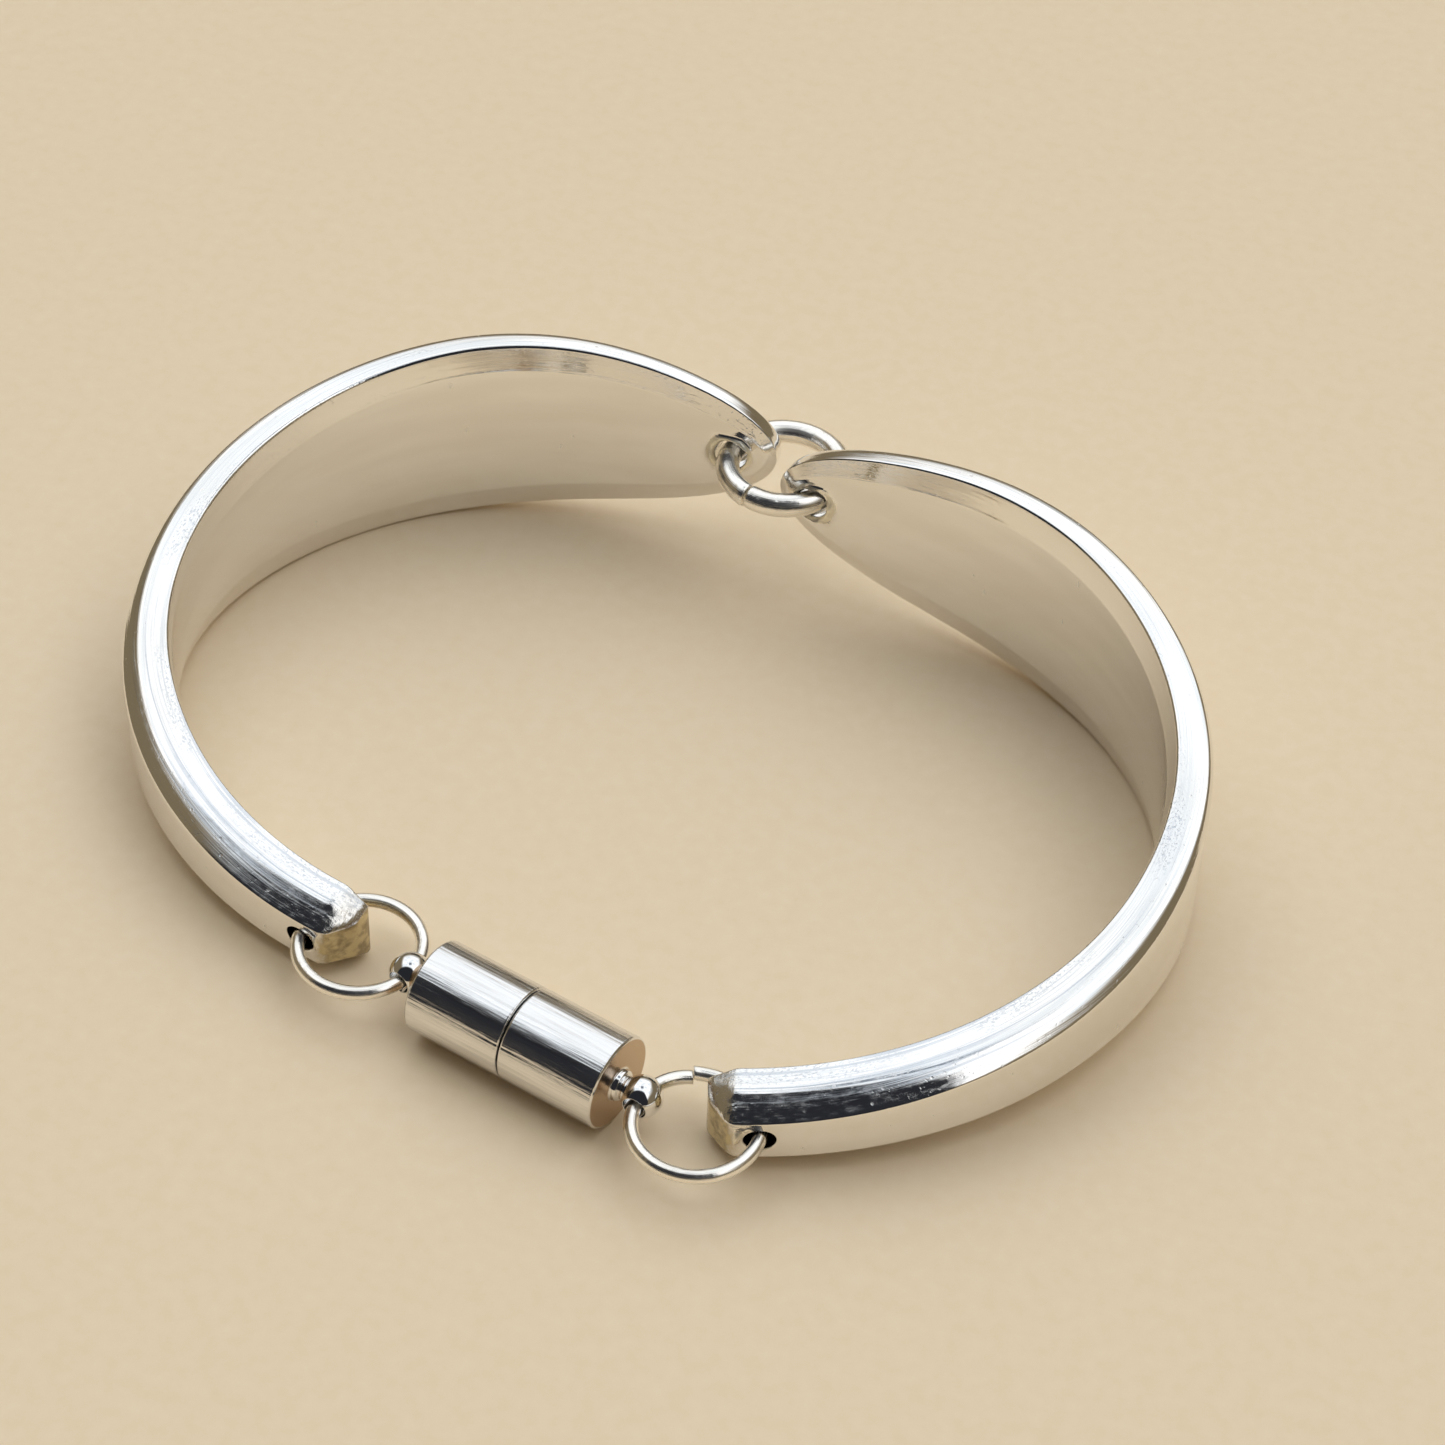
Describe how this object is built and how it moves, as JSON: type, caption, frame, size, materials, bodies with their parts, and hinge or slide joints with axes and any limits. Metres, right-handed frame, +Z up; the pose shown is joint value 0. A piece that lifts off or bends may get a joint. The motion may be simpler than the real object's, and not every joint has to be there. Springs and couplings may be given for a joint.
{
  "type": "spoon handle bracelet",
  "caption": "Bracelet of bent spoon handles joined by a heavy ring at the wide tips and closed at the narrow ends by jump rings and a magnetic barrel clasp.",
  "frame": {"origin": "centre of the bounding box at the table the bracelet lies on", "axes": "+X across the bracelet, +Y from the clasp to the back ring, +Z up from the table"},
  "size_m": [0.0712, 0.0596, 0.0147],
  "materials": {
    "silver_plate": "worn polished silver plate",
    "ring_silver": "bright silver-coloured wire",
    "clasp_steel": "polished steel with fine turning lines"
  },
  "bodies": {
    "left": {"handle_left": "silver_plate", "back_ring": "ring_silver", "jump_ring_left": "ring_silver", "clasp_half_left": "clasp_steel"},
    "right": {"handle_right": "silver_plate", "jump_ring_right": "ring_silver", "clasp_half_right": "clasp_steel"}
  },
  "joints": [
    {"name": "back_ring_swing", "type": "hinge", "parent": "left", "child": "right", "pos_m": [0.00064, 0.02519, 0.00894], "axis": [0, 0, 1], "range_deg": [0, 120]}
  ]
}
